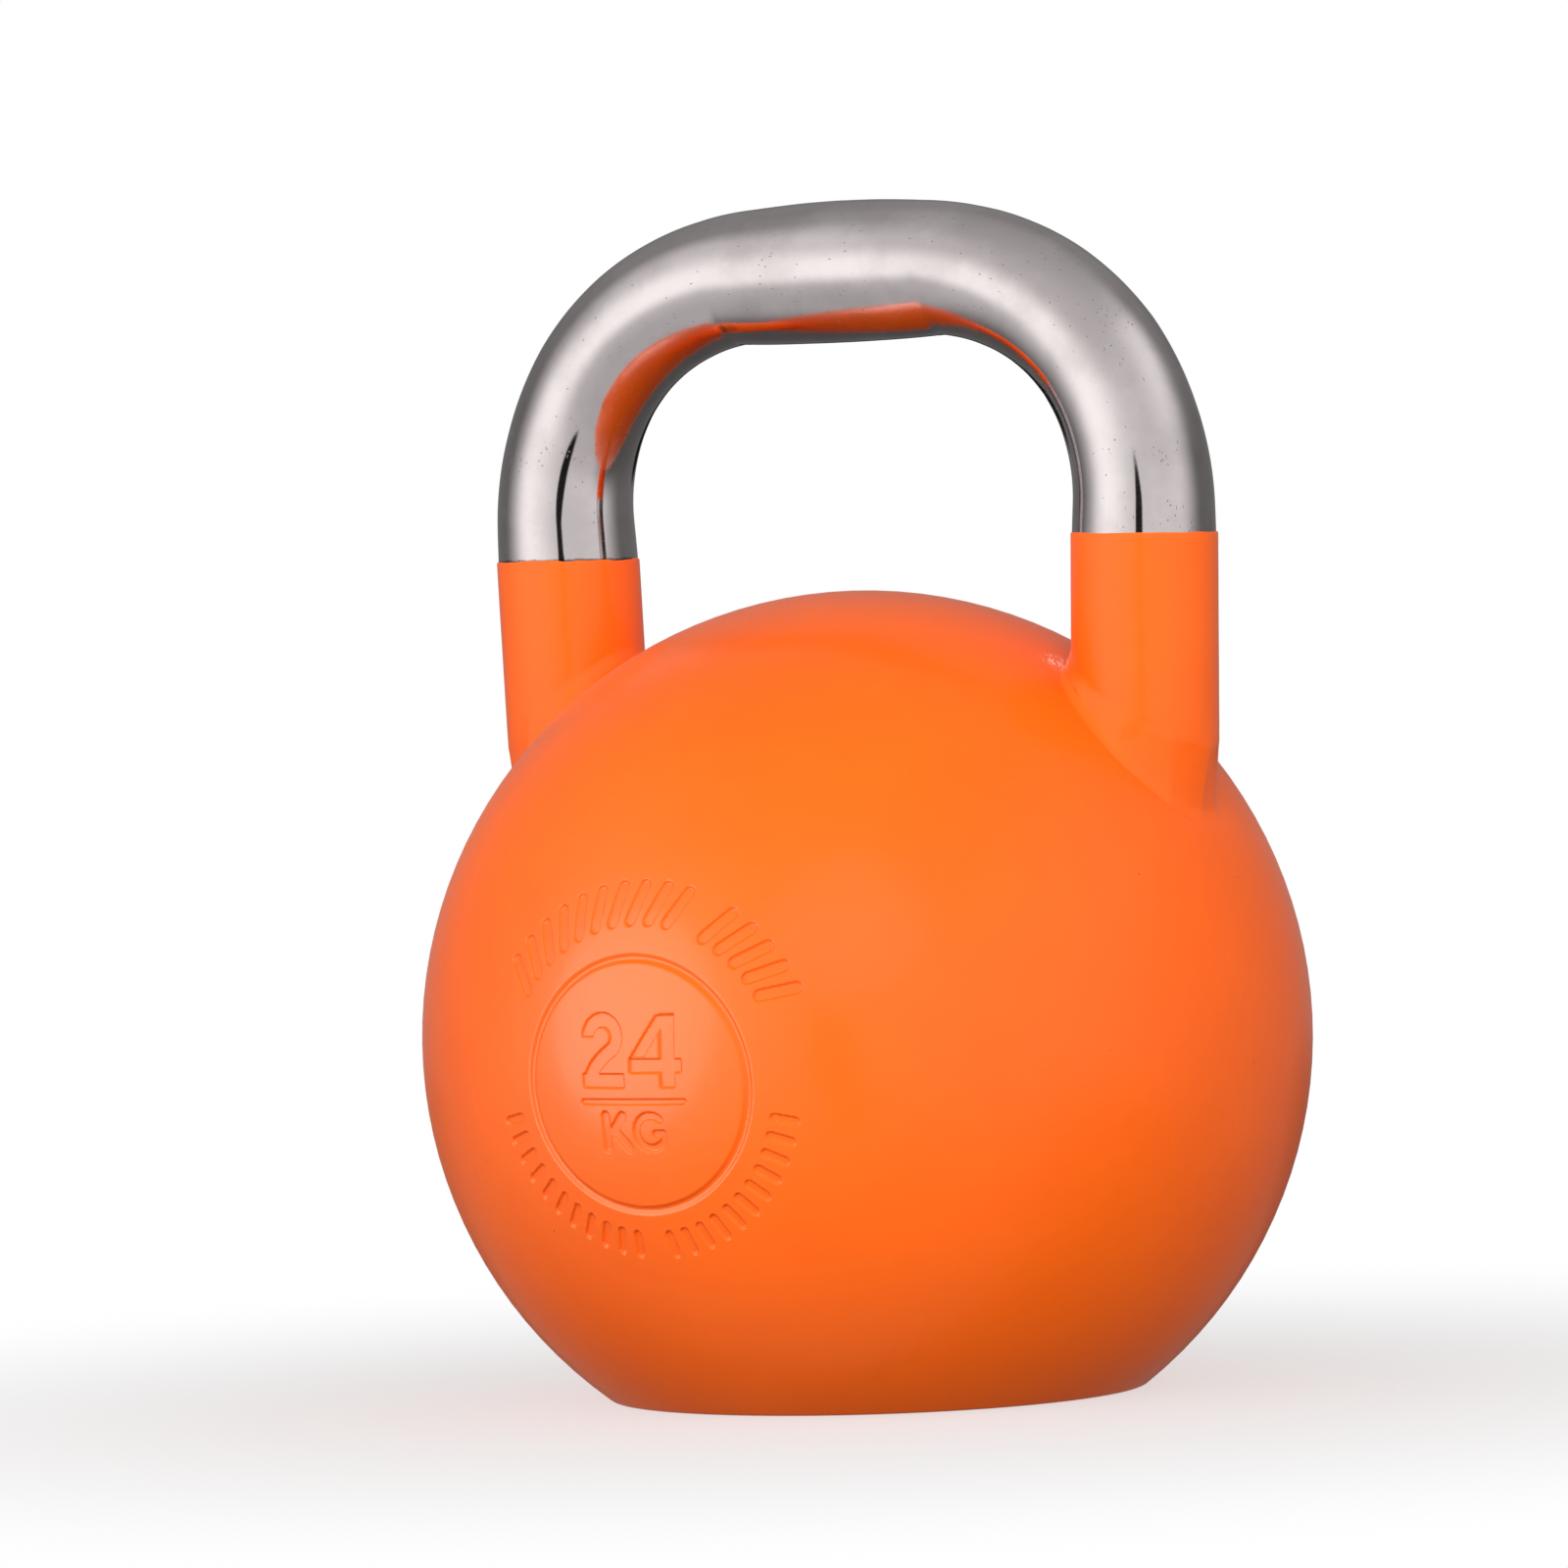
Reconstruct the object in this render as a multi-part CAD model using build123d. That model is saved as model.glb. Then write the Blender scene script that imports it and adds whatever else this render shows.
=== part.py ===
from build123d import *
import math
import os

# Competition kettlebell, 24 kg: a painted steel ball with a bent, polished steel handle
# plugged into two horns that are welded on the ball.
# Frame: millimetres, +Z up, origin at the middle of the foot. The handle runs along X,
# and the side with the weight marking faces -Y.

# ------------------------------------------------------------------ driving dimensions
BALL_R = 105.0                      # every competition bell is 210 mm across
BALL_Z = 0.8 * BALL_R               # height of the ball's centre: the flat foot is 0.6 R in radius
FOOT_EDGE_R = 3.0                   # rounding where the ball meets the foot
OVERALL_HEIGHT = 280.9
CAVITY_R = 89.8                     # inner wall of the ball, concentric with the outside
CAVITY_FLOOR_Z = 14.0

GRIP_R = 16.75                      # the bar in the middle of the grip
GRIP_END_R = 15.95                  # the bar at both ends of its straight length
BEND_R = 15.55                      # the bar where it is ground thinner in the bends
COLLAR_R = 16.8                     # the bar where it enters the horns
GRIP_FLAT = 23.5                    # half the straight length of the handle
BEND_AXIS_R = 56.0                  # radius of the bar's centre line in the bends
LEG_LEAN = 1.75                     # degrees that the legs close in towards the ball

HORN_TOP_R = 17.2
HORN_ROOT_R = 17.0
HORN_ROOT_RISE = 25.0               # height of the horn's lower end above the ball's centre
SPIGOT_R = 12.0                     # turned-down end of the bar, inside horn and ball
SPIGOT_END_Z = 119.0
WELD_UP_HORN = 9.0                  # legs of the dressed weld at the horn's root
WELD_OUT_BALL = 3.2
ANCHOR_WELD_R = 17.0
ANCHOR_WELD_THICK = 5.0
TOOL_EXTRA = 20.0                   # how far cutting tools run past the spigot's end

PLATE_R = 50.0
PLATE_BOTTOM_Z = 1.0
PLATE_TOP_Z = 11.0
OPENING_R = 44.0                    # opening in the shell above the plate's seat
GROOVE_LEG = 2.0                    # chamfers of plate and seat that hold the base weld
COUNTERBORE_R = 15.0
COUNTERBORE_TOP_Z = 5.0
PLUG_HEAD_R = 14.0
PLUG_HEAD_BOTTOM_Z = 1.4
PLUG_HEAD_TOP_Z = 4.0
PLUG_SHANK_R = 9.0
PLUG_TOP_Z = 13.0
PLUG_HEAD_CHAMFER = 0.6
COIN_SLOT = (22.0, 3.0, 1.4)        # length, width, depth
WASHER_R = 13.5

MARK_TILT = 2.9                     # degrees that the marking sits below the ball's equator
MARK_DEPTH = 0.7
MARK_TOOL_START = 70.0              # the marking tool begins this far from the ball's centre
RING_R = 30.0
RING_GROOVE = 2.3
STROKE = 3.5                        # stroke width of the figures
SMALL_STROKE = 2.4                  # stroke width of the unit

# ------------------------------------------------------------------ helpers
BEND_TURN = math.radians(90 + LEG_LEAN)
ARC_END = GRIP_FLAT + BEND_AXIS_R * BEND_TURN
SHOULDER = 29.0                     # path length where the grip has thinned down to the bend
FLARE = ((88.0, BEND_R), (96.0, 15.9), (104.0, 16.2))
PAINT_LINE = ARC_END + 7.4          # path length where the bar enters the horn
BEND_Z = OVERALL_HEIGHT - GRIP_R - BEND_AXIS_R


def station(length):
    """Plane across the handle's centre line at a path length from its middle, on the +X side."""
    if length <= GRIP_FLAT:
        return Plane((length, 0, BEND_Z + BEND_AXIS_R), x_dir=(0, 1, 0), z_dir=(1, 0, 0))
    turn = min((length - GRIP_FLAT) / BEND_AXIS_R, BEND_TURN)
    x = GRIP_FLAT + BEND_AXIS_R * math.sin(turn)
    z = BEND_Z + BEND_AXIS_R * math.cos(turn)
    along = (math.cos(turn), 0, -math.sin(turn))
    past = max(length - ARC_END, 0)
    origin = (x + along[0] * past, 0, z + along[2] * past)
    return Plane(origin, x_dir=(0, 1, 0), z_dir=along)


def grip_barrel():
    """Straight part of the handle, a little fatter in the middle, turned about its own line."""
    bulge = ThreePointArc((-GRIP_FLAT, GRIP_END_R), (0, GRIP_R), (GRIP_FLAT, GRIP_END_R))
    axis_side = Polyline((GRIP_FLAT, GRIP_END_R), (GRIP_FLAT, 0), (-GRIP_FLAT, 0), (-GRIP_FLAT, GRIP_END_R))
    return Pos(0, 0, BEND_Z + BEND_AXIS_R) * revolve(make_face(Curve() + [bulge, axis_side]), Axis.X)


def bent_run(first, last, radius):
    """Run of round bar in the bend, between two path lengths."""
    axis = Axis((GRIP_FLAT, 0, BEND_Z), (0, 1, 0))
    return revolve(station(first) * Circle(radius), axis, math.degrees((last - first) / BEND_AXIS_R))


def bar_taper(first, first_radius, last, last_radius):
    """Short run of bar whose radius changes."""
    rings = [station(first) * Circle(first_radius), station(last) * Circle(last_radius)]
    return loft(rings, ruled=True)


def sphere(radius):
    """Ball-shaped solid about the ball's centre."""
    return Pos(0, 0, BALL_Z) * Sphere(radius)


def disc(radius, bottom, top):
    """Round plate on the Z axis between two heights."""
    return Pos(0, 0, bottom) * Cylinder(radius, top - bottom, align=(Align.CENTER, Align.CENTER, Align.MIN))


def both_sides(shape):
    """The +X shape and the same shape turned half round to the -X side."""
    return shape, Rot(0, 0, 180) * shape


# ------------------------------------------------------------------ handle and horns
def leg_tool(radius, past_paint_line):
    """Cylinder along the leg, from the paint line down into the ball."""
    return extrude(station(PAINT_LINE) * Circle(radius), past_paint_line)


spigot_length = (station(PAINT_LINE).origin.Z - SPIGOT_END_Z) / math.cos(math.radians(LEG_LEAN))
spigot = leg_tool(SPIGOT_R, spigot_length)

half_handle = bar_taper(GRIP_FLAT, GRIP_END_R, SHOULDER, BEND_R)
half_handle += bent_run(SHOULDER, FLARE[0][0], BEND_R)
sections = FLARE + ((PAINT_LINE, COLLAR_R),)
for (start, start_r), (end, end_r) in zip(sections, sections[1:]):
    half_handle += bar_taper(start, start_r, end, end_r)
half_handle += spigot
right_half, left_half = both_sides(half_handle)
handle_bar = grip_barrel() + right_half + left_half

horn_length = station(PAINT_LINE).origin.Z - (BALL_Z + HORN_ROOT_RISE)
horn_root = station(PAINT_LINE + horn_length)
horn_solid = loft([station(PAINT_LINE) * Circle(HORN_TOP_R), horn_root * Circle(HORN_ROOT_R)], ruled=True)
horn_bore = leg_tool(SPIGOT_R, horn_length + TOOL_EXTRA)
horn_on_ball = horn_solid - sphere(BALL_R)
right_horn, left_horn = both_sides(horn_on_ball - horn_bore)


def horn_weld():
    """Bead round the horn's root, longer up the horn than out on the ball."""
    joined = sphere(BALL_R) + horn_solid
    horn_face = joined.faces().filter_by(GeomType.CONE)[0]
    seam = joined.edges().filter_by(GeomType.BSPLINE)
    dressed = joined.chamfer(WELD_UP_HORN, WELD_OUT_BALL, seam, horn_face)
    return dressed - horn_solid - sphere(BALL_R)


right_horn_weld, left_horn_weld = both_sides(horn_weld())

# ------------------------------------------------------------------ marking
MARK = Plane((0, 0, BALL_Z), x_dir=(1, 0, 0),
             z_dir=(0, -math.cos(math.radians(MARK_TILT)), -math.sin(math.radians(MARK_TILT))))


def stroke(start, end, width):
    """Round-ended straight stroke between two points of the marking."""
    run = Vector(*end) - Vector(*start)
    middle = (Vector(*start) + Vector(*end)) / 2
    turn = math.degrees(math.atan2(run.Y, run.X))
    return Pos(middle.X, middle.Y) * Rot(0, 0, turn) * SlotCenterToCenter(run.length, width)


def block(left, bottom, right, top):
    """Upright rectangle of the marking."""
    return Pos((left + right) / 2, (bottom + top) / 2) * Rectangle(right - left, top - bottom)


def curved_stroke(centre, radius, first, last, width):
    """Round-ended stroke along an arc, between two angles in degrees."""
    band = Circle(radius + width / 2) - Circle(radius - width / 2)
    reach = 3 * radius
    wedge_points = [(0, 0)]
    steps = max(2, math.ceil(abs(last - first) / 60))
    for step in range(steps + 1):
        angle = math.radians(first + (last - first) * step / steps)
        wedge_points.append((reach * math.cos(angle), reach * math.sin(angle)))
    shape = band & make_face(Polyline(*wedge_points, close=True))
    for angle in (first, last):
        place = (radius * math.cos(math.radians(angle)), radius * math.sin(math.radians(angle)))
        shape += Pos(*place) * Circle(width / 2)
    return Pos(*centre) * shape


def figure_two():
    """The figure 2, on the left of the weight."""
    crown = curved_stroke((-7.6, 11.1), 3.95, -42, 180, STROKE)
    return crown + stroke((-4.7, 8.45), (-11.2, 1.3), STROKE) + block(-13.3, -0.5, -1.6, 2.9)


def figure_four():
    """The figure 4, on the right of the weight."""
    stem = block(7.8, -0.5, 11.7, 16.2)
    return stem + block(-0.1, 2.9, 13.4, 6.2) + stroke((1.4, 5.0), (8.2, 14.6), STROKE)


def letter_k():
    """The K of the unit."""
    upper_arm = stroke((-6.6, -10.9), (-3.1, -6.9), SMALL_STROKE)
    lower_arm = stroke((-5.4, -9.6), (-1.4, -14.3), SMALL_STROKE)
    return stroke((-7.6, -6.9), (-7.6, -14.3), SMALL_STROKE) + upper_arm + lower_arm


def letter_g():
    """The G of the unit."""
    bowl = curved_stroke((4.2, -10.6), 3.7, 45, 350, SMALL_STROKE)
    return bowl + stroke((4.9, -10.6), (7.9, -10.6), SMALL_STROKE)


def tick_arc(radius, length, width, slant, angles):
    """Row of short ticks on an arc round the marking, each turned by slant from radial."""
    tick = Rot(0, 0, slant) * SlotOverall(length, width)
    return Sketch() + [Rot(0, 0, angle) * Pos(radius, 0) * tick for angle in angles]


def spaced(first, last, count):
    """Evenly spaced angles."""
    return [first + (last - first) * step / (count - 1) for step in range(count)]


weight_marks = [figure_two(), figure_four(), letter_k(), letter_g()]
weight_marks.append(stroke((-13.6, -3.6), (13.6, -3.6), 1.5))
weight_marks.append(Circle(RING_R) - Circle(RING_R - RING_GROOVE))
weight_marks.append(tick_arc(41.0, 10.8, 2.9, -20, spaced(143, 75.5, 10) + spaced(60, 30, 5)))
weight_marks.append(tick_arc(37.2, 6.6, 1.4, 0, spaced(193, 263, 11) + spaced(277, 347, 11)))


def marking_tool():
    """Everything that is sunk into the front of the ball, as one cutting body."""
    deep = Sketch() + weight_marks
    prism = extrude(MARK * Pos(0, 0, MARK_TOOL_START) * deep, BALL_R)
    return prism - sphere(BALL_R - MARK_DEPTH)


# ------------------------------------------------------------------ ball, base and ballast
def rounded_ball():
    """The ball cut off flat at the foot, with its edge rounded."""
    cut = sphere(BALL_R) & Pos(0, 0, BALL_R * 2) * Box(4 * BALL_R, 4 * BALL_R, 4 * BALL_R)
    rim = cut.edges().filter_by(GeomType.CIRCLE).sort_by(Axis.Z)[0]
    return fillet(rim, FOOT_EDGE_R)


cavity = sphere(CAVITY_R) - disc(BALL_R, BALL_Z - BALL_R, CAVITY_FLOOR_Z)
seat = disc(PLATE_R, 0, PLATE_TOP_Z)
seat += Pos(0, 0, GROOVE_LEG / 2) * Cone(PLATE_R + GROOVE_LEG, PLATE_R, GROOVE_LEG)
base_opening = disc(OPENING_R, PLATE_TOP_Z, CAVITY_FLOOR_Z)
right_hole, left_hole = both_sides(leg_tool(SPIGOT_R, spigot_length))
ball_shell = rounded_ball() - cavity - base_opening - seat - right_hole - left_hole - marking_tool()

plate_blank = disc(PLATE_R, PLATE_BOTTOM_Z, PLATE_TOP_Z)
plate_edge = plate_blank.edges().filter_by(GeomType.CIRCLE).sort_by(Axis.Z)[0]
plate_blank = chamfer(plate_edge, GROOVE_LEG)
base_plate = plate_blank - disc(COUNTERBORE_R, PLATE_BOTTOM_Z, COUNTERBORE_TOP_Z)
base_plate -= disc(PLUG_SHANK_R, COUNTERBORE_TOP_Z, PLATE_TOP_Z)

bead = disc(PLATE_R + GROOVE_LEG, PLATE_BOTTOM_Z, PLATE_BOTTOM_Z + GROOVE_LEG)
base_weld = (bead & seat) - plate_blank

head = disc(PLUG_HEAD_R, PLUG_HEAD_BOTTOM_Z, PLUG_HEAD_TOP_Z)
head = chamfer(head.edges().filter_by(GeomType.CIRCLE).sort_by(Axis.Z)[0], PLUG_HEAD_CHAMFER)
slot_length, slot_width, slot_depth = COIN_SLOT
coin_slot = Pos(0, 0, PLUG_HEAD_BOTTOM_Z) * Box(slot_length, slot_width, 2 * slot_depth)
filler_plug = head + disc(PLUG_SHANK_R, PLUG_HEAD_TOP_Z, PLUG_TOP_Z) - coin_slot
plug_washer = disc(WASHER_R, PLUG_HEAD_TOP_Z, COUNTERBORE_TOP_Z)
plug_washer -= disc(PLUG_SHANK_R, PLUG_HEAD_TOP_Z, COUNTERBORE_TOP_Z)


def anchor_weld():
    """Bead round the spigot where it comes through the ball's inner wall."""
    lining = sphere(CAVITY_R) - sphere(CAVITY_R - ANCHOR_WELD_THICK)
    reach = spigot_length + TOOL_EXTRA
    return (leg_tool(ANCHOR_WELD_R, reach) & lining) - leg_tool(SPIGOT_R, reach)


right_anchor_weld, left_anchor_weld = both_sides(anchor_weld())
ballast_fill = cavity + base_opening - right_hole - left_hole
ballast_fill = ballast_fill - right_anchor_weld - left_anchor_weld - disc(PLUG_SHANK_R, PLATE_TOP_Z, PLUG_TOP_Z)

# ------------------------------------------------------------------ files
NODES = {
    "ball_shell": ball_shell,
    "handle_bar": handle_bar,
    "right_horn": right_horn,
    "left_horn": left_horn,
    "right_horn_weld": right_horn_weld,
    "left_horn_weld": left_horn_weld,
    "right_anchor_weld": right_anchor_weld,
    "left_anchor_weld": left_anchor_weld,
    "ballast_fill": ballast_fill,
    "base_plate": base_plate,
    "base_weld": base_weld,
    "filler_plug": filler_plug,
    "plug_washer": plug_washer,
}
os.makedirs("parts", exist_ok=True)
for name, shape in NODES.items():
    export_step(shape, f"parts/{name}.step")
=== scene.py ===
import math
import bpy
import numpy as np
from mathutils import Matrix, Vector


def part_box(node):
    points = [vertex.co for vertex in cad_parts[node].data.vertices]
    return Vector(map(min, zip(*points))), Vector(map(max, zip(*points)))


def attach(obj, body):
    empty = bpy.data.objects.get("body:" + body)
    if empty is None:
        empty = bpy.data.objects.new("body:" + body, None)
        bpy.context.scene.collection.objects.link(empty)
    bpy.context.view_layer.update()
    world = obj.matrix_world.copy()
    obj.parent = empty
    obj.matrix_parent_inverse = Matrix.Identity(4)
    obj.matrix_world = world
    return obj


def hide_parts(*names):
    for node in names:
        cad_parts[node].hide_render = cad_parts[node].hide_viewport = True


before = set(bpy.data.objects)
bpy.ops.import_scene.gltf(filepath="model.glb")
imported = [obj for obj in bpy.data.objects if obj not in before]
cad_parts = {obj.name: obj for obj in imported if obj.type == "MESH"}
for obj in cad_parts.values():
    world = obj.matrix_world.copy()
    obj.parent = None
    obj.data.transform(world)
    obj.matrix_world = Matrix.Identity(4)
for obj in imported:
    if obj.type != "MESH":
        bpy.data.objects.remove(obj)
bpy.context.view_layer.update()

# Competition kettlebell. Shapes are in millimetres and become metres in build_mesh; materials,
# camera and lamps are in metres.
MM = 0.001


def node_box(node):
    """Lowest and highest corner of a CAD node, in millimetres."""
    low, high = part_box(node)
    return np.array(low) / MM, np.array(high) / MM


ball_low, ball_high = node_box("ball_shell")
bar_low, bar_high = node_box("handle_bar")
plate_high = node_box("base_plate")[1]
weld_high = node_box("base_weld")[1]

BALL_R = (ball_high[0] - ball_low[0]) / 2
BALL_Z = ball_high[2] - BALL_R
FOOT_EDGE_R = 3.0
GRIP_R = (bar_high[1] - bar_low[1]) / 2
HANDLE_TOP = bar_high[2]
GRIP_FLAT = 23.5                    # half the straight length of the handle's centre line
BEND_R = 56.0                       # radius of the centre line in the bends
LEG_LEAN = math.radians(1.75)       # the legs close in towards the ball
BEND_Z = HANDLE_TOP - GRIP_R - BEND_R
ARC_END = GRIP_FLAT + BEND_R * (math.pi / 2 + LEG_LEAN)
PAINT_LINE = ARC_END + 7.4          # path length where the bright bar enters the painted horn
SHOULDER = 28.5                     # path length where the grip's barrel shape ends
HORN_R = 17.1
PLATE_R = plate_high[0]
SEAT_R = weld_high[0]               # outer edge of the weld groove round the base plate
SEAT_Z = plate_high[2]
BALL_CENTRE = np.array((0.0, 0.0, BALL_Z))
UP = np.array((0.0, 0.0, 1.0))
FRONT = np.array((0.0, -1.0, 0.0))


# ------------------------------------------------------------------ small tools
def smooth(low, high, value):
    """Soft step from 0 at low to 1 at high."""
    share = np.clip((np.asarray(value, float) - low) / (high - low), 0, 1)
    return share * share * (3 - 2 * share)


def unit(vectors):
    """Vectors scaled to length 1."""
    return vectors / np.linalg.norm(vectors, axis=-1, keepdims=True)


def waves(points, seed, size, octaves=3):
    """Smooth unevenness of about -1 to 1 at 3-D points; size is its longest wavelength in mm."""
    rng = np.random.default_rng(seed)
    total = np.zeros(len(points))
    weight = 0.0
    for octave in range(octaves):
        for _ in range(6):
            direction = unit(rng.normal(size=3))
            phase = rng.uniform(0, 2 * math.pi)
            turn = points @ direction * (2 * math.pi * 2 ** octave / size) + phase
            total += np.sin(turn) * 0.5 ** octave
        weight += 6 * 0.25 ** octave
    return total / math.sqrt(weight / 2) / 2


def build_mesh(name, vertices, faces, material, replaced, sharp=40, uv=None):
    """Makes a smooth-shaded piece that rides on the body and stands for CAD nodes."""
    mesh = bpy.data.meshes.new(name)
    mesh.from_pydata([tuple(v) for v in np.asarray(vertices) * MM], [], faces)
    mesh.validate()
    mesh.shade_smooth()
    mesh.set_sharp_from_angle(angle=math.radians(sharp))
    if uv is not None:
        layer = mesh.uv_layers.new(name="along_bar")
        corners = np.zeros(len(mesh.loops), int)
        mesh.loops.foreach_get("vertex_index", corners)
        layer.data.foreach_set("uv", uv[corners].astype(np.float32).ravel())
    mesh.materials.append(material)
    piece = bpy.data.objects.new(name, mesh)
    bpy.context.scene.collection.objects.link(piece)
    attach(piece, "root")
    if replaced:
        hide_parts(*replaced)
    return piece


def tube_faces(rings, around):
    """Quads between closed rings of points, with one face across the first ring and the last."""
    faces = []
    for ring in range(rings - 1):
        start = ring * around
        for step in range(around):
            after = (step + 1) % around
            faces.append((start + step, start + after, start + around + after, start + around + step))
    faces.append(tuple(reversed(range(around))))
    faces.append(tuple(range((rings - 1) * around, rings * around)))
    return faces


# ------------------------------------------------------------------ marking on the front
MARK_TILT = math.radians(2.9)       # the marking sits a little below the ball's equator
MARK_X = np.array((1.0, 0.0, 0.0))
MARK_OUT = np.array((0.0, -math.cos(MARK_TILT), -math.sin(MARK_TILT)))
MARK_UP = np.cross(MARK_OUT, MARK_X)
RING_R = 30.0
RING_GROOVE = 2.3
MARK_DEPTH = 0.65
GROOVE_DEPTH = 0.7
WALL = 0.35                         # how far the sunk edge takes to go down
HALF_STROKE = 1.75                  # half the width of the figures' strokes
HALF_K = 1.15                       # and of the unit's two letters
HALF_G = 0.95
MARKED = 0.5                        # cosine of how far from its middle the marking is looked for


def to_segment(p, a, b):
    """Distance of points to a straight line between a and b."""
    a, b = np.array(a, float), np.array(b, float)
    share = np.clip((p - a) @ (b - a) / ((b - a) @ (b - a)), 0, 1)
    return np.linalg.norm(p - a - share[:, None] * (b - a), axis=1)


def to_curve(p, line):
    """Distance of points to a line through several points."""
    return np.min([to_segment(p, a, b) for a, b in zip(line, line[1:])], axis=0)


def to_arc(p, centre, radius, first, last):
    """Distance of points to a circular arc between two angles in degrees."""
    angles = np.radians(np.linspace(first, last, 33))
    line = [(centre[0] + radius * math.cos(a), centre[1] + radius * math.sin(a)) for a in angles]
    return to_curve(p, line)


def in_box(p, left, bottom, right, top, corner=0.35):
    """Signed distance to a rectangle with rounded corners."""
    centre = np.array(((left + right) / 2, (bottom + top) / 2))
    half = np.array(((right - left) / 2 - corner, (top - bottom) / 2 - corner))
    over = np.abs(p - centre) - half
    return np.linalg.norm(np.maximum(over, 0), axis=1) + np.minimum(over.max(axis=1), 0) - corner


def in_polygon(p, corners):
    """Signed distance to a polygon."""
    distance = to_curve(p, corners + corners[:1])
    inside = np.zeros(len(p), bool)
    for (ax, ay), (bx, by) in zip(corners, corners[1:] + corners[:1]):
        crosses = (ay > p[:, 1]) != (by > p[:, 1])
        with np.errstate(divide="ignore", invalid="ignore"):
            inside ^= crosses & (p[:, 0] < (bx - ax) * (p[:, 1] - ay) / (by - ay) + ax)
    return np.where(inside, -distance, distance)


def bezier(a, b, c, steps=12):
    """Points of a quadratic curve."""
    a, b, c = (np.array(point, float) for point in (a, b, c))
    return [tuple((1 - t) ** 2 * a + 2 * t * (1 - t) * b + t * t * c) for t in np.linspace(0, 1, steps)]


def figure_two(p):
    """The figure 2: a crown, a curved neck and a foot."""
    middle_x, middle_y = -7.6, 11.1
    crown = to_arc(p, (middle_x, middle_y), 3.95, -42, 180) - HALF_STROKE
    square_end = np.where(p[:, 0] < middle_x, middle_y - p[:, 1], -9)
    neck = to_curve(p, bezier((-4.7, 8.45), (-10.2, 5.0), (-11.5, 0.9))) - HALF_STROKE
    foot = in_box(p, -13.3, -0.5, -1.6, 2.9)
    return np.minimum.reduce((np.maximum(crown, square_end), np.maximum(neck, -0.5 - p[:, 1]), foot))


def figure_four(p):
    """The figure 4: a stem, a crossbar and a slanting side."""
    slant = in_polygon(p, [(-0.1, 6.3), (6.9, 16.2), (9.5, 16.2), (9.5, 14.7), (3.7, 6.3)])
    return np.minimum.reduce((slant, in_box(p, 7.8, -0.5, 11.7, 16.3), in_box(p, -0.2, 2.9, 13.4, 6.3)))


def unit_letters(p):
    """The K and G of the unit."""
    k_lines = [to_curve(p, [(-7.6, -6.8), (-7.6, -14.2)])]
    k_lines.append(to_curve(p, [(-3.0, -6.9), (-6.2, -10.6)]))
    k_lines.append(to_curve(p, [(-5.6, -9.9), (-1.7, -14.2)]))
    g_lines = [to_arc(p, (4.3, -10.5), 3.75, 48, 325)]
    g_lines.append(to_curve(p, [(7.4, -12.6), (7.4, -10.9), (5.6, -10.9)]))
    return np.minimum.reduce([line - HALF_K for line in k_lines] + [line - HALF_G for line in g_lines])


def ticks(p, radius, length, width, slant, angles):
    """Row of round-ended ticks on an arc, each turned by slant from radial."""
    nearest = np.full(len(p), 1e3)
    for angle in angles:
        a, s = math.radians(angle), math.radians(angle + slant)
        middle = np.array((radius * math.cos(a), radius * math.sin(a)))
        reach = np.array((math.cos(s), math.sin(s))) * (length - width) / 2
        nearest = np.minimum(nearest, to_segment(p, middle - reach, middle + reach) - width / 2)
    return nearest


def spaced(first, last, count):
    """Evenly spaced angles."""
    return list(np.linspace(first, last, count))


def sunk_marks(p):
    """Signed distance to everything sunk with a flat floor: weight, unit and tick rows."""
    shapes = [figure_two(p), figure_four(p), unit_letters(p)]
    shapes.append(in_box(p, -14.1, -4.3, 14.1, -2.85, 0.7))
    shapes.append(ticks(p, 41.0, 10.8, 2.9, -20, spaced(143, 75.5, 10) + spaced(60, 30, 5)))
    shapes.append(ticks(p, 37.2, 6.6, 2.1, 0, spaced(193, 263, 11) + spaced(277, 347, 11)))
    return np.minimum.reduce(shapes)


def mark_distance(p):
    """Distance to the nearest edge of any mark, for choosing the mesh's fineness."""
    groove = np.abs(np.abs(np.linalg.norm(p, axis=1) - RING_R + RING_GROOVE / 2) - RING_GROOVE / 4)
    return np.minimum(np.abs(sunk_marks(p) + WALL / 2), groove)


def mark_depth(p):
    """How deep the front is sunk at points of the marking's plane."""
    flat = MARK_DEPTH * smooth(0.15, -WALL, sunk_marks(p))
    across = (np.linalg.norm(p, axis=1) - RING_R + RING_GROOVE / 2) / (RING_GROOVE / 2)
    return flat + GROOVE_DEPTH * (1 - smooth(0.1, 1.15, np.abs(across)))


# ------------------------------------------------------------------ ball
BALL_COLUMNS = 128
BALL_ROWS = 48
FINEST = 4                          # times a cell may be halved near the marks


def foot_profile():
    """Radius and height of the ball below its plain sphere: rounded edge, foot and seat."""
    edge_height = FOOT_EDGE_R - BALL_Z
    edge_radius = math.sqrt((BALL_R - FOOT_EDGE_R) ** 2 - edge_height ** 2)
    tangent = math.atan2(edge_height, edge_radius)
    points = []
    for share in np.linspace(0, 1, 9)[1:]:
        angle = tangent + share * (-math.pi / 2 - tangent)
        across, above = FOOT_EDGE_R * math.cos(angle), FOOT_EDGE_R * math.sin(angle)
        points.append((edge_radius + across, FOOT_EDGE_R + above))
    points += [(SEAT_R + 0.4, 0.0), (SEAT_R, 0.25), (PLATE_R, SEAT_R - PLATE_R)]
    points += [(PLATE_R, SEAT_Z), (0.0, SEAT_Z)]
    return tangent, points


def mark_plane(directions):
    """Place of the ball's surface points in the marking's plane."""
    return np.stack((directions @ MARK_X, directions @ MARK_UP), axis=1) * BALL_R


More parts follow.
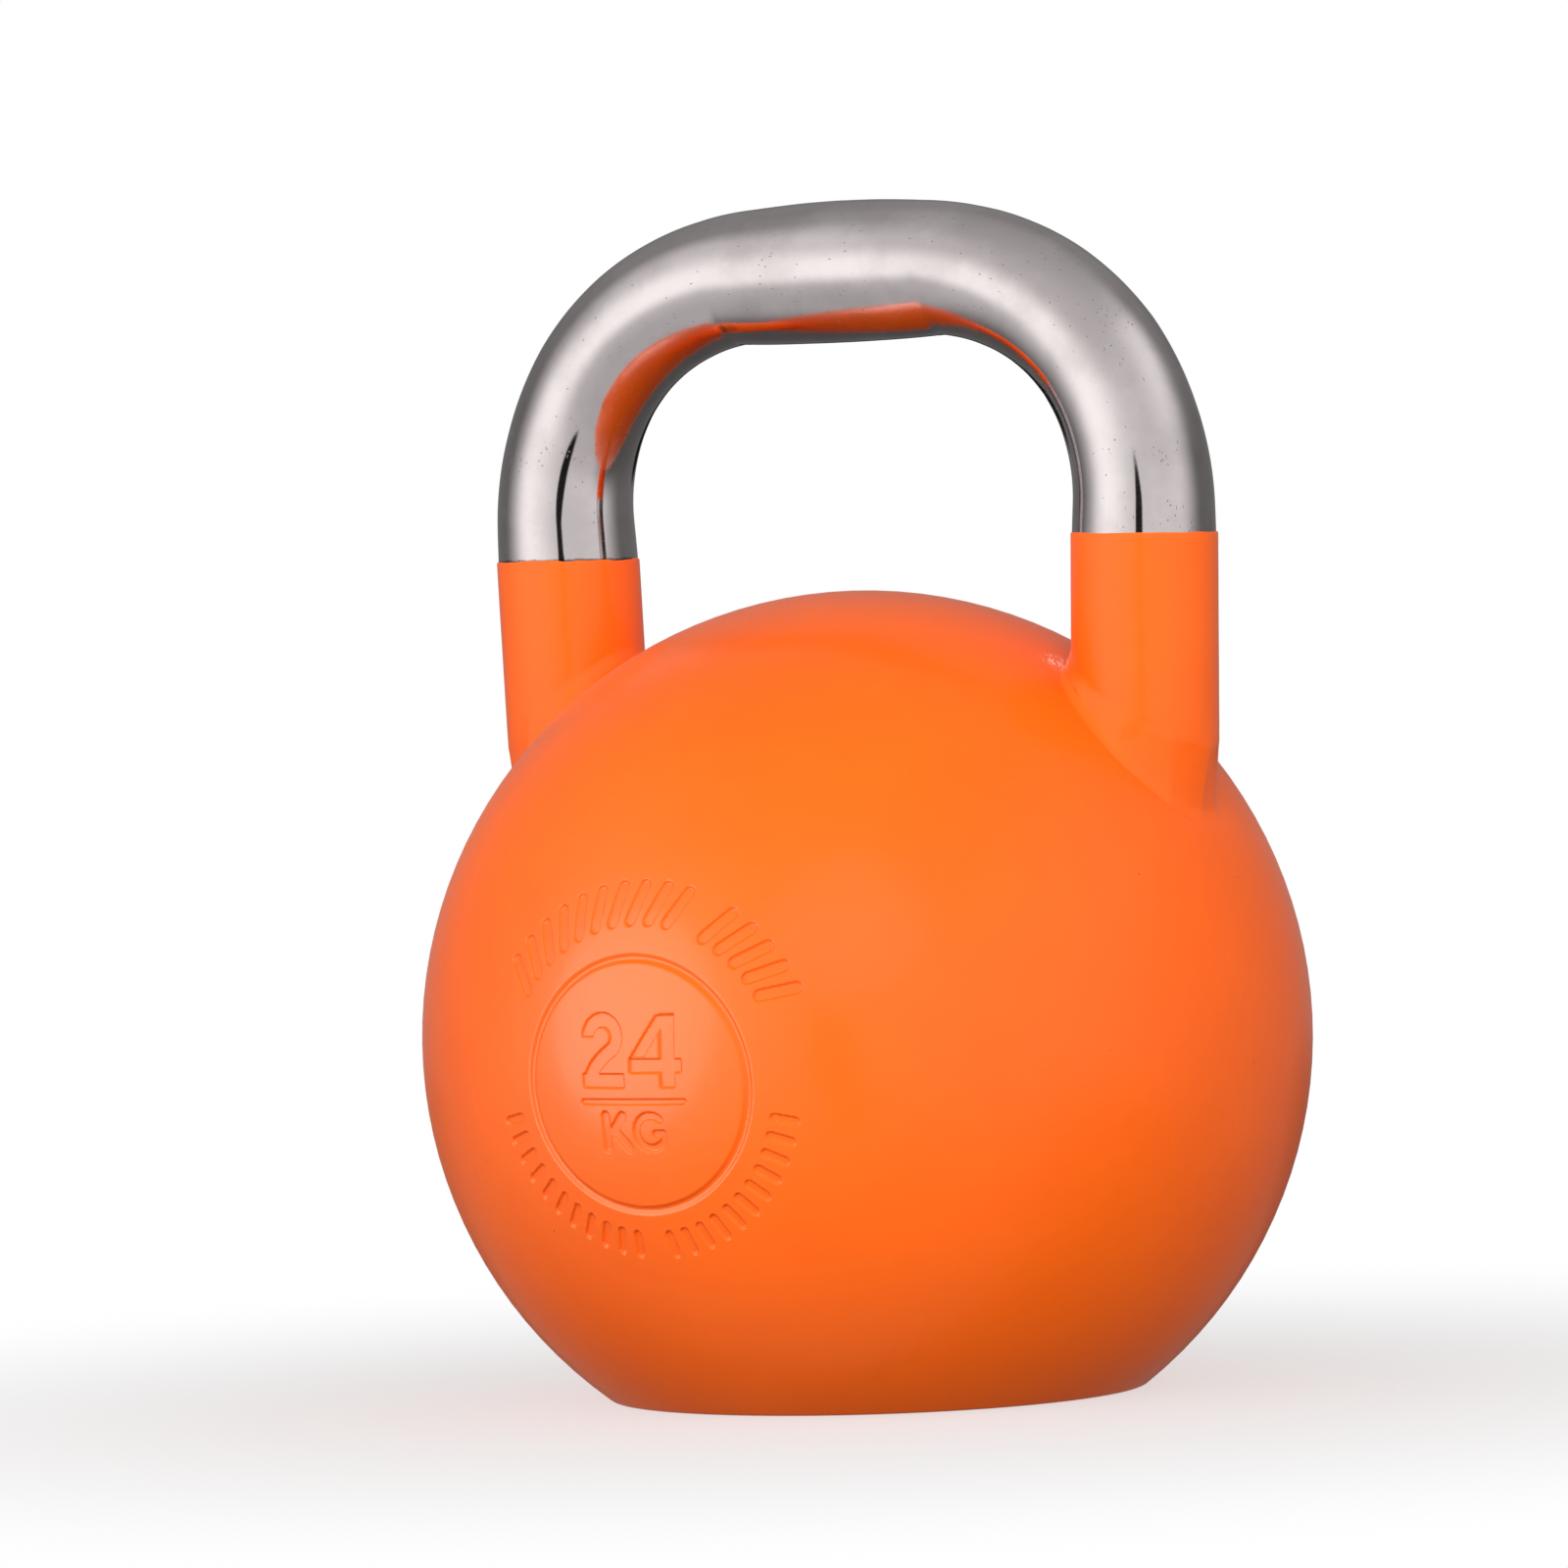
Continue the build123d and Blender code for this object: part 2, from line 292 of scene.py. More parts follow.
def ball_leaves(tangent):
    """Cells of the ball's grid, halved where they come near a mark's edge."""
    fine = 2 ** FINEST
    columns, rows = np.meshgrid(np.arange(BALL_COLUMNS), np.arange(BALL_ROWS), indexing="ij")
    cells = np.stack((columns.ravel(), rows.ravel()), axis=1) * fine
    leaves = []
    for level in range(FINEST + 1):
        size = fine >> level
        width = math.pi / 2 * BALL_R / BALL_ROWS / 2 ** level
        directions = ball_directions(cells + size / 2, tangent)
        near = mark_distance(mark_plane(directions)) < 2.2 * width
        near &= directions @ MARK_OUT > MARKED
        if level == FINEST:
            near[:] = False
        leaves += [(i, j, size) for i, j in cells[~near]]
        half = size // 2
        corners = np.array([(0, 0), (half, 0), (0, half), (half, half)])
        cells = (cells[near][:, None, :] + corners[None]).reshape(-1, 2)
    return leaves


def ball_directions(grid, tangent):
    """Directions from the ball's centre for places on its grid."""
    fine = 2 ** FINEST
    around = grid[:, 0] / (BALL_COLUMNS * fine) * 2 * math.pi
    height = math.pi / 2 + grid[:, 1] / (BALL_ROWS * fine) * (tangent - math.pi / 2)
    flat = np.cos(height)
    return np.stack((np.sin(around) * flat, np.cos(around) * flat, np.sin(height)), axis=1)


def ball_piece(material):
    """The painted ball with its marking, foot and seat for the base plate, as one closed skin."""
    tangent, foot = foot_profile()
    fine = 2 ** FINEST
    whole = BALL_COLUMNS * fine
    index = {}
    places = []

    def corner(i, j):
        key = (0, 0) if j == 0 else (i % whole, j)
        if j == (BALL_ROWS + len(foot)) * fine:
            key = (0, j)
        if key not in index:
            index[key] = len(places)
            places.append(key)
        return index[key]

    leaves = ball_leaves(tangent)
    for column in range(BALL_COLUMNS):
        leaves += [(column * fine, (BALL_ROWS + row) * fine, fine) for row in range(len(foot))]
    for i, j, size in leaves:
        for a, b in ((0, 0), (size, 0), (size, size), (0, size)):
            corner(i + a, j + b)
    faces = []
    for i, j, size in leaves:
        loop = []
        half = size // 2
        sides = ((0, 0, half, 0), (size, 0, 0, half), (size, size, -half, 0), (0, size, 0, -half))
        for a, b, da, db in sides:
            loop.append(corner(i + a, j + b))
            middle = ((i + a + da) % whole, j + b + db)
            if size > 1 and middle in index:
                loop.append(index[middle])
        ring = [v for k, v in enumerate(loop) if v != loop[k - 1]]
        if len(ring) > 4:
            hub = corner(i + half, j + half)
            faces += [(hub, ring[k - 1], ring[k]) for k in range(len(ring))]
        else:
            faces.append(tuple(ring))

    grid = np.array(places, float)
    directions = ball_directions(np.minimum(grid, (whole, BALL_ROWS * fine)), tangent)
    flat = mark_plane(directions)
    front = directions @ MARK_OUT > MARKED
    depth = np.where(front, mark_depth(flat), 0.0)
    points = BALL_CENTRE + directions * (BALL_R - depth)[:, None]
    below = np.flatnonzero(grid[:, 1] > BALL_ROWS * fine)
    profile = np.array(foot)[(grid[below, 1] / fine).astype(int) - BALL_ROWS - 1]
    around = grid[below, 0] / whole * 2 * math.pi
    x, y = profile[:, 0] * np.sin(around), profile[:, 0] * np.cos(around)
    points[below] = np.stack((x, y, profile[:, 1]), axis=1)

    piece = build_mesh("painted_ball", points, faces, material, ["ball_shell"], sharp=35)
    step = 0.06
    slope = [(mark_depth(flat + shift) - mark_depth(flat - shift)) / (2 * step)
             for shift in (np.array((step, 0)), np.array((0, step)))]
    tilt = np.where(front, slope[0], 0)[:, None] * MARK_X + np.where(front, slope[1], 0)[:, None] * MARK_UP
    tilt -= (tilt * directions).sum(axis=1, keepdims=True) * directions
    normals = unit(directions + tilt)
    normals[grid[:, 1] >= BALL_ROWS * fine] = 0     # the foot keeps its own shading
    corners = np.zeros(len(piece.data.loops), int)
    piece.data.loops.foreach_get("vertex_index", corners)
    piece.data.normals_split_custom_set([tuple(n) for n in normals[corners]])
    return piece


# ------------------------------------------------------------------ bar and horns
CRISP_REACH = 0.8                   # how far along the bar its radius is evened out on the inside
SOFT_REACH = 7.0                    # and on the outside
PLAY = 0.06                         # the uneven skin lies this much under the true radius
GRIP_THINNING = 1.05                # how much thinner the grip's barrel shape gets by the shoulder

# Slight departures left by hand bending and grinding, by path length from the handle's middle:
# how far the centre line lies outside its arcs, and the radius of the bar in the bends.
BOW = ((0, 0.05), (10, 0.0), (34, -0.38), (46, -0.35), (58, -0.05), (76, 0.27), (94, 0.0), (200, 0.0))
BEND_RADII = ((40, 15.6), (66, 15.5), (86, 15.7), (94, 15.88), (106, 16.25), (PAINT_LINE, 16.8))


def bar_line(length):
    """Centre, outward normal and direction of the handle's line at signed path lengths."""
    far = np.abs(length)
    side = np.where(length < 0, -1.0, 1.0)
    turn = np.clip((far - GRIP_FLAT) / BEND_R, 0, math.pi / 2 + LEG_LEAN)
    past = np.maximum(far - ARC_END, 0)
    x = np.minimum(far, GRIP_FLAT) + BEND_R * np.sin(turn) + past * np.cos(turn)
    z = BEND_Z + BEND_R * np.cos(turn) - past * np.sin(turn)
    zero = np.zeros_like(x)
    centre = np.stack((side * x, zero, z), axis=-1)
    outward = np.stack((side * np.sin(turn), zero, np.cos(turn)), axis=-1)
    along = np.stack((np.cos(turn), zero, -side * np.sin(turn)), axis=-1)
    bow = np.interp(far, *zip(*BOW))
    return centre + outward * bow[..., None], outward, along


def bar_radius(length):
    """Radius of the bright bar: barrel-shaped at the grip, ground thinner in the bends."""
    far = np.abs(length)
    barrel = GRIP_R - GRIP_THINNING * (far / SHOULDER) ** 2
    bend = np.interp(far, *zip(*BEND_RADII))
    return np.where(far < SHOULDER, barrel, np.minimum(bend, GRIP_R + 0.05))


def bar_piece(material):
    """The bright bar, with the slight flats and ripples that hand grinding leaves."""
    around = 96
    lengths = np.linspace(-(PAINT_LINE + 3), PAINT_LINE + 3, 241)
    crisp, soft = (np.mean([bar_radius(lengths + shift) for shift in np.linspace(-reach, reach, 9)], axis=0)
                   for reach in (CRISP_REACH, SOFT_REACH))
    centre, outward, _ = bar_line(lengths)
    turns = np.linspace(0, 2 * math.pi, around, endpoint=False)
    inside = smooth(0.2, -0.7, np.cos(turns))
    radius = soft[:, None] + (crisp - soft)[:, None] * inside
    rings = outward[:, None, :] * np.cos(turns)[None, :, None]
    rings = rings + FRONT * np.sin(turns)[None, :, None]
    points = (centre[:, None, :] + rings * radius[:, :, None]).reshape(-1, 3)
    uneven = waves(points, 3, 70) * 0.05 + waves(points, 5, 22) * 0.012
    points += rings.reshape(-1, 3) * (uneven - PLAY)[:, None]
    uv = np.stack((np.tile(turns, len(lengths)) * GRIP_R, np.repeat(lengths, around)), axis=1) * MM
    faces = tube_faces(len(lengths), around)
    return build_mesh("polished_bar", points, faces, material, ["handle_bar"], uv=uv)


def leg_frame(side, turns):
    """Point on a leg's axis at the paint line, its way down and the ways out of it; turns is 0 outboard."""
    centre, outward, along = bar_line(np.array([side * PAINT_LINE]))
    radial = np.cos(turns)[:, None] * outward[0] + np.sin(turns)[:, None] * FRONT
    return centre[0], along[0] * side, radial


def down_to_ball(side, turns, radius, gap=0.0):
    """How far below the paint line a leg of a given radius meets the ball."""
    origin, down, radial = leg_frame(side, turns)
    start = origin + radius[:, None] * radial - BALL_CENTRE
    b = start @ down
    c = (start * start).sum(axis=1) - (BALL_R + gap) ** 2
    return -b - np.sqrt(b * b - c)


CREASE_REACH = 2.4                  # how far the rounding at the weld's top reaches each way
TOE_REACH = 1.6                     # and the rounding where the weld runs out on the ball
FLATS = 9                           # flats that the grinder left round the weld
FLAT_STRENGTH = 0.35                # 1 would be a true polygon
RIGHT_SEAM = 37.5                   # how far below the paint line the right weld starts, on average
LEFT_SEAM = 34.8                    # and the left one


def crease_depth(side, turns):
    """Where the dressed weld starts, below the paint line; turns is 0 outboard, 90 degrees in front."""
    uneven = 0.4 * np.sin(3 * turns + 1.0 + side) + 0.3 * np.sin(5 * turns + 2.2 * side)
    mean = RIGHT_SEAM if side > 0 else LEFT_SEAM
    return mean + 10.5 * np.cos(turns) - 1.3 * np.cos(2 * turns) + uneven


def toe_radius(turns):
    """How far from the leg's axis the dressed weld runs out on the ball."""
    heel = 1.3 * np.exp(-((np.mod(turns + math.pi, 2 * math.pi) - math.pi + 0.5) / 0.3) ** 2)
    return 18.0 - 2.3 * np.cos(turns) - 1.2 * np.cos(2 * turns) + 0.2 * np.sin(4 * turns + 0.6) + heel


def horn_swell(points, side):
    """Slight unevenness of a horn's skin."""
    return waves(points, 20 + side, 60) * 0.06


def horn_piece(name, side, material, node):
    """Painted horn from the paint line down into the weld, with a soft, slightly ragged lip."""
    around = 128
    turns = np.linspace(0, 2 * math.pi, around, endpoint=False)
    origin, down, radial = leg_frame(side, turns)
    if side > 0:
        lip = -1.3 + waves(radial * 17, 12, 16, 4) * 0.12
    else:
        lip = 0.5 - 0.7 * np.cos(turns) + waves(radial * 17, 10, 11, 4) * 0.22
    seam = crease_depth(side, turns) - CREASE_REACH
    rows = [(16.0, lip + 0.45), (16.85, lip + 0.06), (16.95, lip), (17.04, lip + 0.1), (HORN_R, lip + 0.4)]
    rows += [(HORN_R, lip + 0.4 + (seam - lip - 0.4) * share) for share in np.linspace(0.04, 1, 22)]
    skin = len(rows)
    rows += [(HORN_R - 1.5, seam + 0.4), (12.0, seam + 5.0)]
    points = np.array([origin + radius * radial + depth[:, None] * down for radius, depth in rows])
    swell = horn_swell(points[:skin].reshape(-1, 3), side).reshape(skin, around)
    points[:skin] += radial * swell[:, :, None]
    faces = tube_faces(len(rows), around)
    if side < 0:
        faces = [tuple(reversed(face)) for face in faces]
    return build_mesh(name, points.reshape(-1, 3), faces, material, [node])


def curve_rows(start, middle, end, steps):
    """Rows of a quadratic curve from start to end, bending at middle."""
    shares = np.linspace(0, 1, steps)[:, None, None]
    return (1 - shares) ** 2 * start + 2 * shares * (1 - shares) * middle + shares ** 2 * end


def weld_piece(name, side, material, node):
    """The weld at a horn's root, ground by hand to slanting flats and painted over."""
    around = 160
    turns = np.linspace(0, 2 * math.pi, around, endpoint=False)
    origin, down, radial = leg_frame(side, turns)
    crease = crease_depth(side, turns)
    toe_r = toe_radius(turns)

    def at(radius, depth):
        return origin + np.reshape(radius, (-1, 1)) * radial + np.reshape(depth, (-1, 1)) * down

    top = at(HORN_R, crease)
    toe = at(toe_r, down_to_ball(side, turns, toe_r))
    ball_out = unit(toe - BALL_CENTRE)
    slope = unit(toe - top)
    spread = unit(slope - (slope * ball_out).sum(axis=1, keepdims=True) * ball_out)
    finish = BALL_CENTRE + unit(toe + spread * TOE_REACH - BALL_CENTRE) * BALL_R
    start = at(HORN_R, crease - CREASE_REACH)
    start += radial * horn_swell(start, side)[:, None]
    flat_start = top + slope * CREASE_REACH
    flat_end = toe - slope * TOE_REACH
    rounded = curve_rows(start, top, flat_start, 9)
    flat = flat_start + np.linspace(0, 1, 8)[1:-1, None, None] * (flat_end - flat_start)
    skin = np.concatenate((rounded, flat, curve_rows(flat_end, toe, finish, 11)))
    fade = np.sin(np.linspace(0, math.pi, len(skin)))[:, None]
    grind = math.pi / FLATS - np.abs((turns + 0.35 * side) % (2 * math.pi / FLATS) - math.pi / FLATS)
    facets = FLAT_STRENGTH * HORN_R * (1 / np.cos(grind) - 1) - 0.25
    bumps = waves(skin.reshape(-1, 3), 31 + side, 24).reshape(len(skin), around) * 0.12
    place = np.linspace(0, 1, len(skin))[:, None]
    hollow = 0.15 * np.exp(-((place - 0.22) / 0.10) ** 2) - 0.28 * np.exp(-((place - 0.55) / 0.18) ** 2)
    skin += radial * ((facets + bumps + hollow) * fade)[:, :, None]
    inner_toe = BALL_CENTRE + unit(skin[-1] - BALL_CENTRE) * (BALL_R - 0.6)
    core = HORN_R - 6
    deep = at(core, down_to_ball(side, turns, np.full(around, core), -3.0))
    inner_top = skin[0] - radial * 0.6 + down * 0.3
    points = np.concatenate(([deep, at(core, crease), inner_top], skin, [inner_toe]))
    rings = len(points)
    faces = tube_faces(rings, around)[:-2]
    last = (rings - 1) * around
    faces += [(last + k, last + (k + 1) % around, (k + 1) % around, k) for k in range(around)]
    if side < 0:
        faces = [tuple(reversed(face)) for face in faces]
    return build_mesh(name, points.reshape(-1, 3), faces, material, [node], sharp=60)


# ------------------------------------------------------------------ materials
class Nodes:
    """A node tree, built up socket by socket."""

    def __init__(self, tree):
        self.tree = tree

    def node(self, kind, inputs=None, **settings):
        """Adds a node; inputs are numbers, colours or other nodes' sockets."""
        made = self.tree.nodes.new(kind)
        for key, value in settings.items():
            setattr(made, key, value)
        for key, value in (inputs or {}).items():
            self.put(made.inputs[key], value)
        return made

    def put(self, socket, value):
        """Links a socket or sets its number or colour."""
        if isinstance(value, bpy.types.NodeSocket):
            self.tree.links.new(value, socket)
        elif isinstance(value, (tuple, list)) and len(value) == 3 and len(socket.default_value) == 4:
            socket.default_value = (*value, 1.0)
        else:
            socket.default_value = value

    def noise(self, place, scale, detail=3.0, roughness=0.5):
        """Noise value at a place; scale is in waves per metre."""
        inputs = {"Vector": place, "Scale": scale, "Detail": detail, "Roughness": roughness}
        return self.node("ShaderNodeTexNoise", inputs).outputs["Fac"]

    def stretched(self, place, scale):
        """The place vector scaled by three numbers."""
        inputs = {"Vector": place, "Scale": scale}
        return self.node("ShaderNodeMapping", inputs).outputs["Vector"]

    def ramp(self, value, low, high, to_low=0.0, to_high=1.0):
        """Maps the range low to high onto to_low to to_high, with soft ends."""
        inputs = {"Value": value, "From Min": low, "From Max": high, "To Min": to_low, "To Max": to_high}
        return self.node("ShaderNodeMapRange", inputs, interpolation_type="SMOOTHSTEP").outputs["Result"]

    def maths(self, operation, a, b=0.0):
        """One arithmetic step."""
        made = self.node("ShaderNodeMath", {0: a, 1: b}, operation=operation)
        return made.outputs["Value"]

    def mix(self, share, a, b):
        """Mixes two colours."""
        made = self.node("ShaderNodeMix", data_type="RGBA")
        self.put(made.inputs[0], share)
        self.put(made.inputs[6], a)
        self.put(made.inputs[7], b)
        return made.outputs[2]

    def bump(self, height, distance, strength=1.0, below=None):
        """Bump from a height in metres."""
        inputs = {"Height": height, "Distance": distance, "Strength": strength}
        if below is not None:
            inputs["Normal"] = below
        return self.node("ShaderNodeBump", inputs).outputs["Normal"]


class Shader(Nodes):
    """A node material, built from the Principled shader outwards."""

    def __init__(self, name):
        self.material = bpy.data.materials.new(name)
        self.material.use_nodes = True
        super().__init__(self.material.node_tree)
        self.principled = self.tree.nodes["Principled BSDF"]

    def set(self, **sockets):
        """Sets the Principled shader's sockets; underscores stand for spaces."""
        for key, value in sockets.items():
            self.put(self.principled.inputs[key.replace("_", " ")], value)


WORN_CORNER = (0.0608, -0.0066, 0.1732)     # where the right horn's weld is scratched
ORANGE = ((0.93, 0.119, 0.003), (0.98, 0.131, 0.004))
SCUFF = (1.0, 0.33, 0.12)
SCRATCH = (0.90, 0.70, 0.60)
SPECK = (0.30, 0.05, 0.012)
STEEL = ((0.495, 0.446, 0.447), (0.585, 0.532, 0.534))
PIT = (0.16, 0.14, 0.135)
LIP_SHADE = (0.09, 0.05, 0.035)              # painted shade: a thin dark line on the bar where it meets the paint's lip
# Pits and nicks: cells per metre round and along the bar, then where a dot fades out and is full.
DOTS = (((900.0, 900.0, 1.0), 0.20, 0.11), ((1500.0, 330.0, 1.0), 0.17, 0.10))


def paint_material():
    """Satin orange powder coat: faint orange peel, small specks, light scuffs."""
    s = Shader("orange_powder_coat")
    place = s.node("ShaderNodeTexCoord").outputs["Object"]
    broad = s.noise(place, 14.0, 6.0, 0.6)
    fine = s.noise(place, 900.0, 3.0)
    colour = s.mix(s.ramp(broad, 0.35, 0.65), *ORANGE)
    scuffs = s.noise(s.stretched(place, (60.0, 25.0, 420.0)), 4.0, 6.0, 0.7)
    scuffed = s.ramp(scuffs, 0.70, 0.76, 0.0, 0.35)
    colour = s.mix(scuffed, colour, SCUFF)
    corner = s.node("ShaderNodeVectorMath", {0: place, 1: WORN_CORNER}, operation="DISTANCE")
    hairs = s.noise(s.stretched(place, (2400.0, 900.0, 500.0)), 1.0, 3.0)
    worn = s.maths("MULTIPLY", s.ramp(corner.outputs["Value"], 0.0065, 0.0035), s.ramp(hairs, 0.54, 0.58))
    colour = s.mix(s.maths("MULTIPLY", worn, 0.8), colour, SCRATCH)
    specks = s.node("ShaderNodeTexVoronoi", {"Vector": place, "Scale": 160.0, "Randomness": 1.0})
    chance = s.node("ShaderNodeTexWhiteNoise", {"Vector": specks.outputs["Position"]}).outputs["Value"]
    dot = s.ramp(specks.outputs["Distance"], 0.06, 0.035)
    dark = s.maths("MULTIPLY", dot, s.ramp(chance, 0.965, 0.97, 0.0, 0.65))
    colour = s.mix(dark, colour, SPECK)
    rough = s.maths("ADD", s.ramp(broad, 0.3, 0.7, 0.30, 0.37), s.ramp(fine, 0.3, 0.7, 0.0, 0.05))
    s.set(Base_Color=colour, Roughness=rough)
    s.set(IOR=1.45, Specular_IOR_Level=0.22, Coat_Weight=0.2, Coat_Roughness=0.14)
    s.set(Sheen_Weight=0.10, Sheen_Roughness=0.28, Sheen_Tint=(0.90, 1.0, 1.0))
    peel = s.noise(place, 330.0, 2.0)
    below = s.bump(peel, 8e-5)
    s.set(Normal=s.bump(dot, 2e-5, below=below))
    return s.material


def steel_material():
    """Bare bar, ground and polished: satin at the grip, bright on the legs, with pits and nicks, and a
    painted shade line just above the paint's lip.
    """
    s = Shader("polished_steel")
    place = s.node("ShaderNodeTexCoord").outputs["Object"]
    unrolled = s.node("ShaderNodeUVMap", uv_map="along_bar").outputs["UV"]
    around, along, _ = s.node("ShaderNodeSeparateXYZ", {0: unrolled}).outputs
    far = s.maths("ABSOLUTE", along)
    turned = s.maths("COSINE", s.maths("DIVIDE", around, GRIP_R * MM))
    broad = s.noise(place, 45.0, 5.0, 0.6)
    grain = s.noise(s.stretched(unrolled, (40.0, 900.0, 1.0)), 3.0, 4.0, 0.6)
    colour = s.mix(s.ramp(broad, 0.35, 0.65), *STEEL)
    patch = s.ramp(s.noise(place, 60.0, 3.0), 0.48, 0.66, 0.02, s.ramp(far, 0.05, 0.09, 0.25, 0.6))
    marks = None
    for stretch, low, high in DOTS:
        cells = s.node("ShaderNodeTexVoronoi", {"Vector": s.stretched(unrolled, stretch), "Scale": 1.0})
        chance = s.node("ShaderNodeTexWhiteNoise", {"Vector": cells.outputs["Position"]}).outputs["Value"]
        chosen = s.maths("LESS_THAN", chance, patch)
        dot = s.maths("MULTIPLY", s.ramp(cells.outputs["Distance"], low, high), chosen)
        marks = dot if marks is None else s.maths("MAXIMUM", marks, dot)
    colour = s.mix(s.maths("MULTIPLY", marks, 0.7), colour, PIT)
    # Painted shade: a thin, slightly ragged dark line on the bar just above the paint's lip, where the bar
    # goes into the horn.
    left_lip = s.maths("SUBTRACT", 0.0005, s.maths("MULTIPLY", turned, 0.0007))
    lip = s.maths("ADD", s.mix(s.maths("LESS_THAN", along, 0.0), (-0.0013,) * 3, left_lip), PAINT_LINE * MM)
    gap = s.maths("SUBTRACT", lip, s.maths("ADD", far, s.maths("MULTIPLY", s.noise(place, 500.0), 0.0009)))
    colour = s.mix(s.ramp(gap, 1e-4, -4e-4, 0.0, 0.8), colour, LIP_SHADE)
    satin = s.ramp(far, 0.045, 0.095, 0.115, 0.045)
    rough = s.maths("ADD", satin, s.ramp(s.maths("ADD", broad, grain), 0.6, 1.4, 0.0, 0.04))
    s.set(Base_Color=colour, Metallic=1.0, Roughness=rough)
    below = s.bump(grain, 3e-6)
    s.set(Normal=s.bump(s.maths("SUBTRACT", 1.0, marks), 4e-5, below=below))
    return s.material


def plain_material(name, dark, light, roughness, metallic, grain_scale, depth):
    """Plain material with a two-tone grain, for the small and hidden pieces."""
    s = Shader(name)
    place = s.node("ShaderNodeTexCoord").outputs["Object"]
    grain = s.noise(place, grain_scale, 5.0, 0.6)
    s.set(Base_Color=s.mix(s.ramp(grain, 0.3, 0.7), dark, light), Metallic=metallic)
    s.set(Roughness=s.ramp(grain, 0.3, 0.7, roughness, roughness + 0.15), Normal=s.bump(grain, depth))
    return s.material


def dress(node, material):
    """Gives a carried-over CAD node its material."""
    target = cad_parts[node]
    target = bpy.data.objects[target] if isinstance(target, str) else target
    for slot in target.material_slots:
        slot.material = material


# ------------------------------------------------------------------ the object
paint = paint_material()
steel = steel_material()
machined = plain_material("machined_steel", (0.30, 0.29, 0.28), (0.42, 0.41, 0.40), 0.32, 1.0, 400.0, 2e-5)
rubber = plain_material("black_rubber", (0.012, 0.012, 0.012), (0.03, 0.03, 0.03), 0.6, 0.0, 900.0, 3e-5)
filling = plain_material("poured_filling", (0.20, 0.19, 0.18), (0.42, 0.41, 0.38), 0.8, 0.0, 500.0, 4e-4)

painted = [ball_piece(paint)]
bar_piece(steel)
for side, word in ((1, "right"), (-1, "left")):
    painted.append(horn_piece(word + "_painted_horn", side, paint, word + "_horn"))
    painted.append(weld_piece(word + "_dressed_weld", side, paint, word + "_horn_weld"))
    dress(word + "_anchor_weld", machined)
dress("base_plate", paint)
dress("base_weld", paint)
dress("filler_plug", machined)
dress("plug_washer", rubber)
dress("ballast_fill", filling)

# ------------------------------------------------------------------ stage, light and camera
CAMERA_AZIMUTH = 31.04
CAMERA_ELEVATION = 2.84
CAMERA_DISTANCE = 2.197             # metres from the ball's centre
CAMERA_YAW = -0.460                 # degrees that the camera looks right of the ball's centre
CAMERA_PITCH = 1.563                # and above it
CAMERA_ROLL = -1.947
LENS = 213.7                        # millimetres, on a sensor 36 wide
SENSOR = 36.0
FLOOR_R = 4.0                       # metres
FLOOR_PALE = (0.95, 0.95, 0.95)
WHITE = (1.0, 1.0, 1.0)


def add_camera():
    """The camera at the viewing angle, turned by yaw, pitch and roll from the ball's centre."""
    azimuth, elevation = math.radians(CAMERA_AZIMUTH), math.radians(CAMERA_ELEVATION)
    yaw, pitch, roll = (math.radians(a) for a in (CAMERA_YAW, CAMERA_PITCH, CAMERA_ROLL))
    back = np.array((math.sin(azimuth) * math.cos(elevation), -math.cos(azimuth) * math.cos(elevation),
                     math.sin(elevation)))
    forward = -back
    right = unit(np.cross(forward, UP))
    up = np.cross(right, forward)
    forward, right = (forward * math.cos(yaw) + right * math.sin(yaw),
                      right * math.cos(yaw) - forward * math.sin(yaw))
    forward, up = (forward * math.cos(pitch) + up * math.sin(pitch),
                   up * math.cos(pitch) - forward * math.sin(pitch))
    right, up = (right * math.cos(roll) + up * math.sin(roll), up * math.cos(roll) - right * math.sin(roll))
    data = bpy.data.cameras.new("camera")
    data.lens = LENS
    data.sensor_width = SENSOR
    camera = bpy.data.objects.new("camera", data)
    turn = Matrix((right, up, -forward)).transposed().to_4x4()
    camera.matrix_world = Matrix.Translation(Vector(BALL_CENTRE * MM + back * CAMERA_DISTANCE)) @ turn
    bpy.context.scene.collection.objects.link(camera)
    bpy.context.scene.camera = camera


def add_floor():
    """Pale round floor, fading into white; it throws no light back up and isn't seen from below."""
    around = 96
    angles = np.linspace(0, 2 * math.pi, around, endpoint=False)
    mesh = bpy.data.meshes.new("floor")
    edge = [(FLOOR_R * math.cos(a), FLOOR_R * math.sin(a), 0.0) for a in angles]
    mesh.from_pydata(edge, [], [tuple(range(around))])
    s = Shader("pale_floor")
    place = s.node("ShaderNodeTexCoord").outputs["Object"]
    distance = s.node("ShaderNodeVectorMath", {0: place}, operation="LENGTH").outputs["Value"]
    s.set(Base_Color=FLOOR_PALE, Roughness=0.8, Specular_IOR_Level=0.0)
    white = s.node("ShaderNodeEmission", {"Color": WHITE, "Strength": 1.0}).outputs[0]
    fade = s.ramp(distance, 0.05, 0.40, 0.6, 1.0)
    seen = s.node("ShaderNodeMixShader", {0: fade, 1: s.principled.outputs[0], 2: white})
    clear = s.node("ShaderNodeBsdfTransparent").outputs[0]
    is_view = s.node("ShaderNodeLightPath").outputs["Is Camera Ray"]
    from_above = s.maths("SUBTRACT", is_view, s.node("ShaderNodeNewGeometry").outputs["Backfacing"])
    both = s.node("ShaderNodeMixShader", {0: from_above, 1: clear, 2: seen.outputs[0]})
    s.tree.links.new(both.outputs[0], s.tree.nodes["Material Output"].inputs["Surface"])
    mesh.materials.append(s.material)
    floor = bpy.data.objects.new("floor", mesh)
    bpy.context.scene.collection.objects.link(floor)


